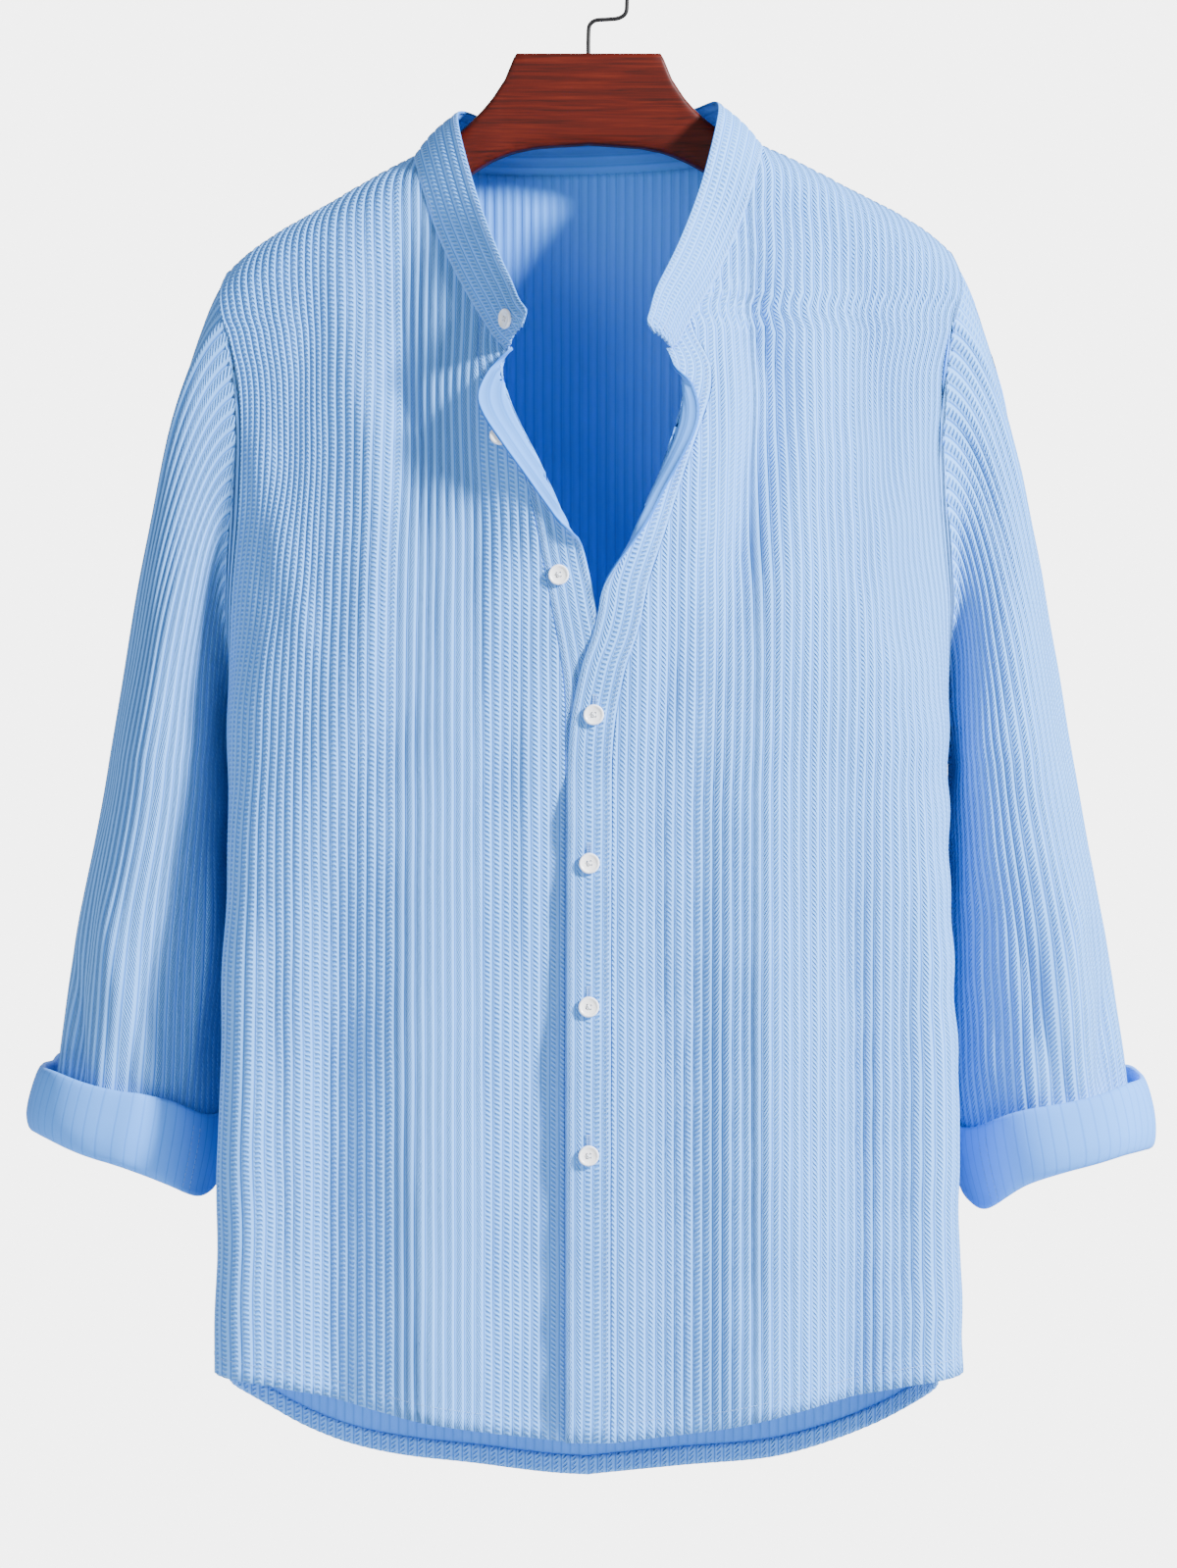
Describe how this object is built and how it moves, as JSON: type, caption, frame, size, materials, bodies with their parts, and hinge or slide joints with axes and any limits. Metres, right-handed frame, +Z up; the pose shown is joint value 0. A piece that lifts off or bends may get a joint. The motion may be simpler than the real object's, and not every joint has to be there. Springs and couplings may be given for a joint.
{
  "type": "mandarin collar shirt on a wooden hanger",
  "caption": "Long-sleeved mandarin collar shirt in ribbed crinkle cloth with turned-up sleeve ends and an open neck, hung on a broad shaped wooden hanger.",
  "frame": {"origin": "inside top of the hook, where the rod carries it", "axes": "+Z up, -Y the way the front of the shirt faces, +X towards the wearer's left"},
  "size_m": [0.6378, 0.206, 0.8832],
  "materials": {
    "cloth": "pale blue ribbed crinkle cotton, matt",
    "cloth_reverse": "smooth reverse of the same cloth, matt",
    "button": "white, soft gloss",
    "wood": "mahogany stain, satin lacquer",
    "wire": "black, satin"
  },
  "bodies": {
    "root": {"front_right": "cloth", "front_left": "cloth", "back": "cloth", "placket_right": "cloth", "placket_left": "cloth", "collar": "cloth", "sleeve_right": "cloth", "sleeve_left": "cloth", "sleeve_end_right": "cloth_reverse", "sleeve_end_left": "cloth_reverse", "button_1": "button", "button_2": "button", "button_3": "button", "button_4": "button", "button_5": "button", "button_6": "button", "button_7": "button", "hanger_wood": "wood", "hanger_hook": "wire"}
  },
  "joints": []
}
